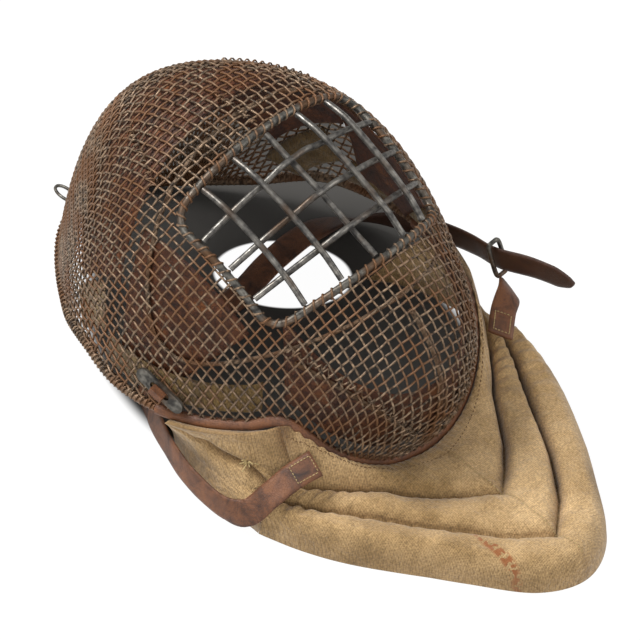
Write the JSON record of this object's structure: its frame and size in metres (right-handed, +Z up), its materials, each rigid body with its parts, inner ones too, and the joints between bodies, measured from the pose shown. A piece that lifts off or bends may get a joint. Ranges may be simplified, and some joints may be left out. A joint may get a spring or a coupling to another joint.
{
  "type": "fencing mask",
  "caption": "Antique wire mesh fencing mask with a barred window, leather edging, a neck strap and a quilted canvas bib that guards the throat.",
  "frame": {"origin": "under the middle of the whole mask, on the surface that it lies on", "axes": "+Y towards the crown, -Y towards the bib's tip, -X the wearer's right, +Z up out of the window"},
  "size_m": [0.2198, 0.3858, 0.1584],
  "materials": {
    "rusted_wire": "woven iron wire, dull brown with old rust",
    "worn_steel": "dull grey steel rod, worn bright at the crossings",
    "strap_leather": "old brown leather",
    "lining_leather": "cracked orange-brown lining leather",
    "canvas": "faded khaki cotton canvas",
    "iron": "dark dull iron"
  },
  "bodies": {
    "root": {"cage_mesh_chin": "rusted_wire", "cage_mesh_left": "rusted_wire", "cage_mesh_crown_left": "rusted_wire", "cage_mesh_crown_right": "rusted_wire", "cage_mesh_right": "rusted_wire", "rim_wire": "iron", "piping": "strap_leather", "window_frame": "worn_steel", "window_bar_upright_1": "worn_steel", "window_bar_upright_2": "worn_steel", "window_bar_upright_3": "worn_steel", "window_bar_upright_4": "worn_steel", "window_bar_upright_5": "worn_steel", "window_bar_cross_1": "worn_steel", "window_bar_cross_2": "worn_steel", "window_bar_cross_3": "worn_steel", "ring_rib": "rusted_wire", "chin_rib": "rusted_wire", "dart_rib_right": "rusted_wire", "dart_rib_left": "rusted_wire", "forehead_pad": "lining_leather", "cheek_pad_right": "lining_leather", "cheek_pad_left": "lining_leather", "nape_lining_right": "canvas", "nape_lining_left": "canvas", "chin_lining": "lining_leather", "side_lining_left": "canvas", "side_lining_right": "canvas", "bib": "canvas", "bib_wing_right": "canvas", "bib_wing_left": "canvas", "neck_strap": "strap_leather", "buckle_chape": "strap_leather", "buckle": "iron", "side_plate_right": "iron", "plate_tab_right": "strap_leather", "side_plate_left": "iron", "plate_tab_left": "strap_leather", "hanging_loop": "iron"}
  },
  "joints": []
}
